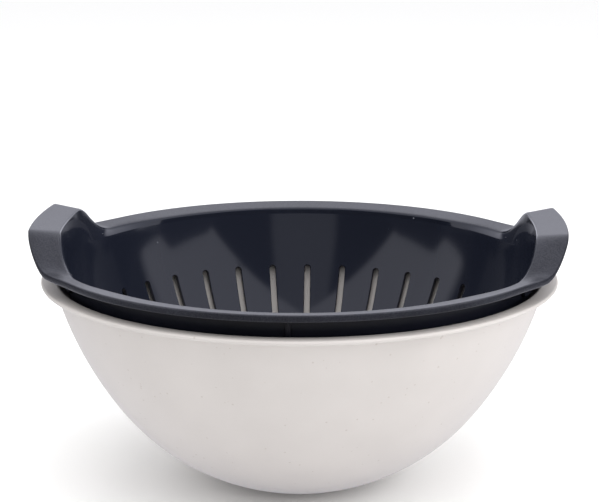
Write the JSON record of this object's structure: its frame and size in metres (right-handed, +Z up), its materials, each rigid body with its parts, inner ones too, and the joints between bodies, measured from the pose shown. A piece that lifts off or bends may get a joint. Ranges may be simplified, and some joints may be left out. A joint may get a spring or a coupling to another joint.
{
  "type": "colander with bowl",
  "caption": "Slotted plastic colander with two raised scoop handles, standing on its foot ring inside a round mixing bowl and lifting straight out to drain",
  "frame": {"origin": "middle of the bowl's base, on the surface it stands on", "axes": "+Z up; +X through the handles; -Y towards the viewer in the picture"},
  "size_m": [0.2564, 0.25, 0.1295],
  "materials": {
    "bowl_plastic": "matte off-white moulded plastic with sparse fine dark specks",
    "colander_plastic": "dark blue-grey moulded plastic, glossy inside, satin outside, fine matte grain on rim and handles"
  },
  "bodies": {
    "bowl": {"bowl": "bowl_plastic"},
    "colander": {"colander": "colander_plastic"}
  },
  "joints": [
    {"name": "colander_lift", "type": "slide", "parent": "bowl", "child": "colander", "axis": [0, 0, 1], "range_m": [0, 0.1]}
  ]
}
